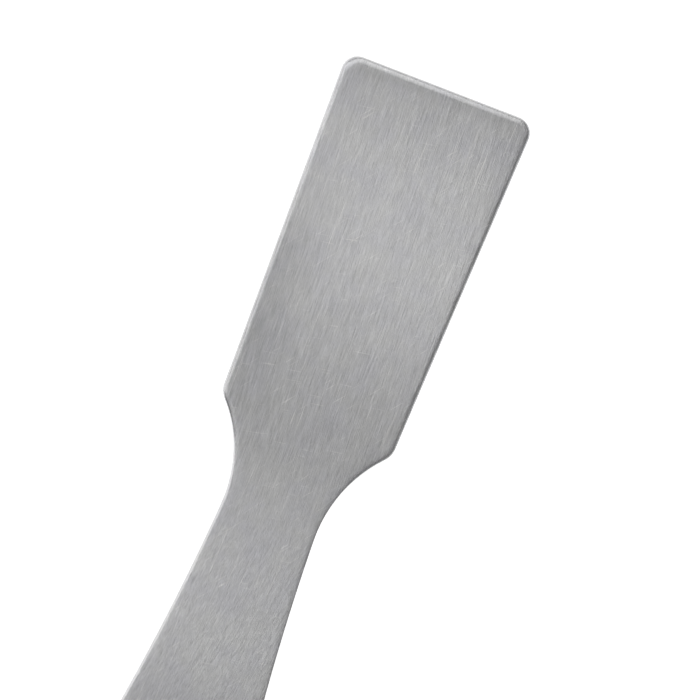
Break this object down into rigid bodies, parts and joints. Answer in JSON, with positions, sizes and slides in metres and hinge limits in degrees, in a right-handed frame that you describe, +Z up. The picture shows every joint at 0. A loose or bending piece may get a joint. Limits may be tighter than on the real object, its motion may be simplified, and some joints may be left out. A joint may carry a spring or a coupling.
{
  "type": "spudger",
  "caption": "Flat double-ended metal spudger with a wide round-cornered blade, a waisted neck, a swelling handle and a narrow pry tongue ground thin at its tip.",
  "frame": {"origin": "halfway along the tool and on its centre line, on the underside that it lies on", "axes": "+Z up, square to the plate; +Y along the tool, towards the tip edge of the wide blade; +X across it"},
  "size_m": [0.02, 0.17, 0.0015],
  "materials": {
    "brushed_stainless": "bare stainless steel, fine brushed along its length, with light scratches and smooth rounded edges"
  },
  "bodies": {
    "root": {"spudger_body": "brushed_stainless"}
  },
  "joints": []
}
